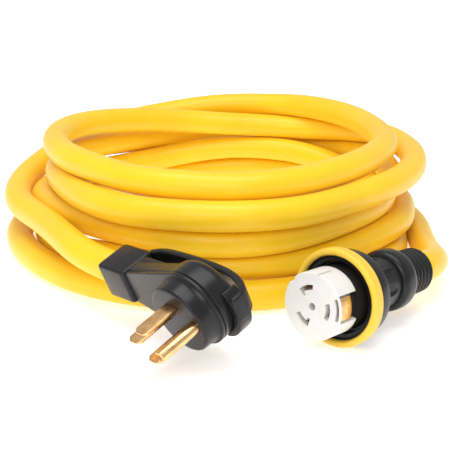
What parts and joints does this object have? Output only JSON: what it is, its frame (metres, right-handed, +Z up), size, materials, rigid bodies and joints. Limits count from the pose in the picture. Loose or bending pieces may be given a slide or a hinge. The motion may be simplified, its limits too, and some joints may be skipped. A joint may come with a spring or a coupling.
{
  "type": "shore power cord",
  "caption": "Coiled heavy cable with an angled blade plug with a handle at one end and a round locking connector at the other.",
  "frame": {"origin": "on the ground plane, under the middle of the box round the plug and the connector", "axes": "+Z up from the ground, -Y the side that the plug and connector lie on, +Y from them across the coil, +X from the plug towards the connector"},
  "size_m": [0.4348, 0.5936, 0.1172],
  "materials": {
    "cord_jacket": "satin yellow jacket",
    "yellow_ring": "satin yellow moulding",
    "black_plastic": "satin black moulding",
    "dark_insulator": "satin black",
    "white_nylon": "satin off-white",
    "rubber": "matt black",
    "brass": "polished",
    "steel": "plated",
    "wire_red": "satin",
    "wire_black": "satin",
    "wire_white": "satin",
    "wire_green": "satin"
  },
  "bodies": {
    "cord_and_ends": {"connector_cable_bushing": "rubber", "connector_clamp_collar": "black_plastic", "connector_core": "dark_insulator", "connector_ground_contact": "brass", "connector_hot_x_contact": "brass", "connector_hot_y_contact": "brass", "connector_housing": "black_plastic", "connector_neutral_contact": "brass", "connector_nose": "white_nylon", "connector_strain_relief": "rubber", "connector_wire_ground": "wire_green", "connector_wire_hot_x": "wire_red", "connector_wire_hot_y": "wire_black", "connector_wire_neutral": "wire_white", "cord_coil": "cord_jacket", "cord_tail_connector": "cord_jacket", "cord_tail_plug": "cord_jacket", "plug_blade_carrier": "dark_insulator", "plug_cable_bushing": "rubber", "plug_front_body": "black_plastic", "plug_ground_pin": "brass", "plug_handle": "black_plastic", "plug_hot_x_blade": "brass", "plug_hot_y_blade": "brass", "plug_neutral_blade": "brass", "plug_rear_housing": "black_plastic", "plug_wire_ground": "wire_green", "plug_wire_hot_x": "wire_red", "plug_wire_hot_y": "wire_black", "plug_wire_neutral": "wire_white", "terminal_screw_ground": "steel", "terminal_screw_hot_x": "steel", "terminal_screw_hot_y": "steel", "terminal_screw_neutral": "steel"},
    "ring_seal": {"ring_gasket": "rubber"},
    "ring": {"locking_ring": "yellow_ring"}
  },
  "joints": [
    {"name": "ring_travel", "type": "slide", "parent": "cord_and_ends", "child": "ring_seal", "axis": [-0.6747, -0.7363, 0.0506], "range_m": [0, 0.006]},
    {"name": "ring_spin", "type": "hinge", "parent": "ring_seal", "child": "ring", "pos_m": [0.04963, -0.00148, 0.03877], "axis": [-0.6747, -0.7363, 0.0506], "continuous": true}
  ]
}
